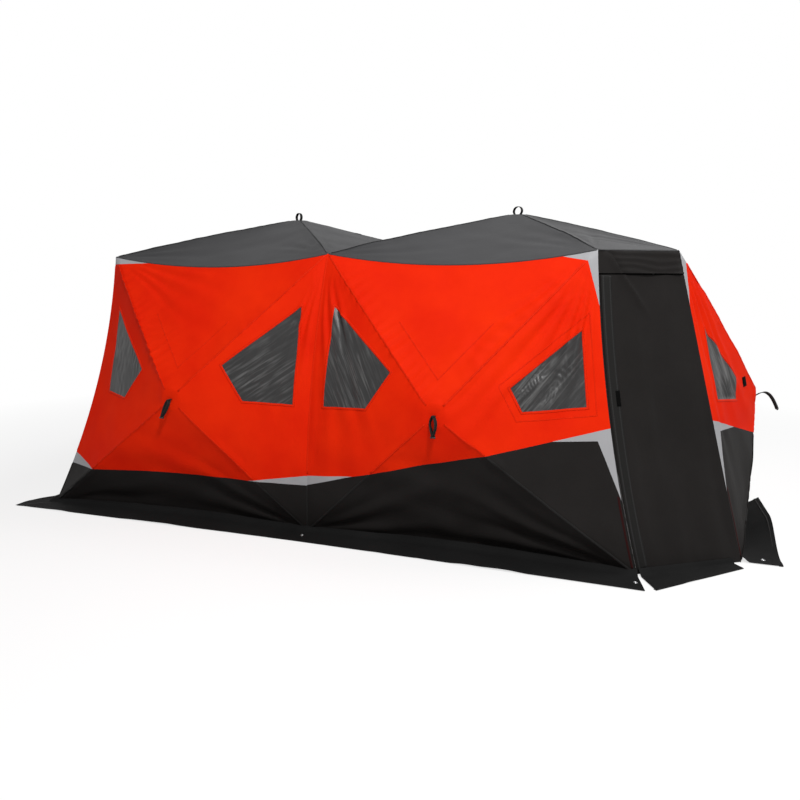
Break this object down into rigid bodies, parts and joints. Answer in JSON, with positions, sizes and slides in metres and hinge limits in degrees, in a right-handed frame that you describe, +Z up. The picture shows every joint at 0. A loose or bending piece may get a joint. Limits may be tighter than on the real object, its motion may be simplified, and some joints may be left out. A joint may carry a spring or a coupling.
{
  "type": "pop-up ice fishing shelter",
  "caption": "Pop-up fabric ice fishing shelter of joined bays, with hub-and-pole walls and roofs, clear windows, hinged corner doors and a ground skirt.",
  "frame": {"origin": "middle of the footprint, on the ground", "axes": "+X along the long front wall towards the front door's end, +Y to the back, +Z up"},
  "size_m": [4.9832, 2.82, 2.1062],
  "materials": {
    "red_fabric": "matt woven",
    "black_fabric": "matt woven",
    "roof_fabric": "matt woven",
    "clear_vinyl": "clear",
    "pole": "satin",
    "hub_plastic": "satin",
    "webbing": "woven"
  },
  "bodies": {
    "shelter": {"front_left_wall": "red_fabric", "front_right_wall": "red_fabric", "right_end_wall": "red_fabric", "back_right_wall": "red_fabric", "back_left_wall": "red_fabric", "left_end_wall": "red_fabric", "front_left_band": "black_fabric", "front_right_band": "black_fabric", "right_end_band": "black_fabric", "back_right_band": "black_fabric", "back_left_band": "black_fabric", "left_end_band": "black_fabric", "left_roof": "roof_fabric", "right_roof": "roof_fabric", "front_door_header": "black_fabric", "back_door_header": "black_fabric", "front_left_windows": "clear_vinyl", "front_right_windows": "clear_vinyl", "right_end_windows": "clear_vinyl", "back_right_windows": "clear_vinyl", "back_left_windows": "clear_vinyl", "left_end_windows": "clear_vinyl", "front_skirt": "black_fabric", "right_end_skirt": "black_fabric", "back_skirt": "black_fabric", "left_end_skirt": "black_fabric", "front_left_poles": "pole", "front_right_poles": "pole", "right_end_poles": "pole", "back_right_poles": "pole", "back_left_poles": "pole", "left_end_poles": "pole", "left_roof_poles": "pole", "right_roof_poles": "pole", "wall_hubs": "hub_plastic", "roof_hubs": "hub_plastic", "wall_pull_straps": "webbing", "roof_pull_straps": "webbing"},
    "front_door": {"front_door": "black_fabric", "front_door_skirt": "black_fabric"},
    "back_door": {"back_door": "black_fabric", "back_door_skirt": "black_fabric"}
  },
  "joints": [
    {"name": "front_door_hinge", "type": "hinge", "parent": "shelter", "child": "front_door", "pos_m": [2.275, -0.79567, 0], "axis": [-0.234, 0.0964, 0.9674], "range_deg": [0, 110]},
    {"name": "back_door_hinge", "type": "hinge", "parent": "shelter", "child": "back_door", "pos_m": [-2.275, 0.79567, 0], "axis": [0.234, -0.0964, 0.9674], "range_deg": [0, 110]}
  ]
}
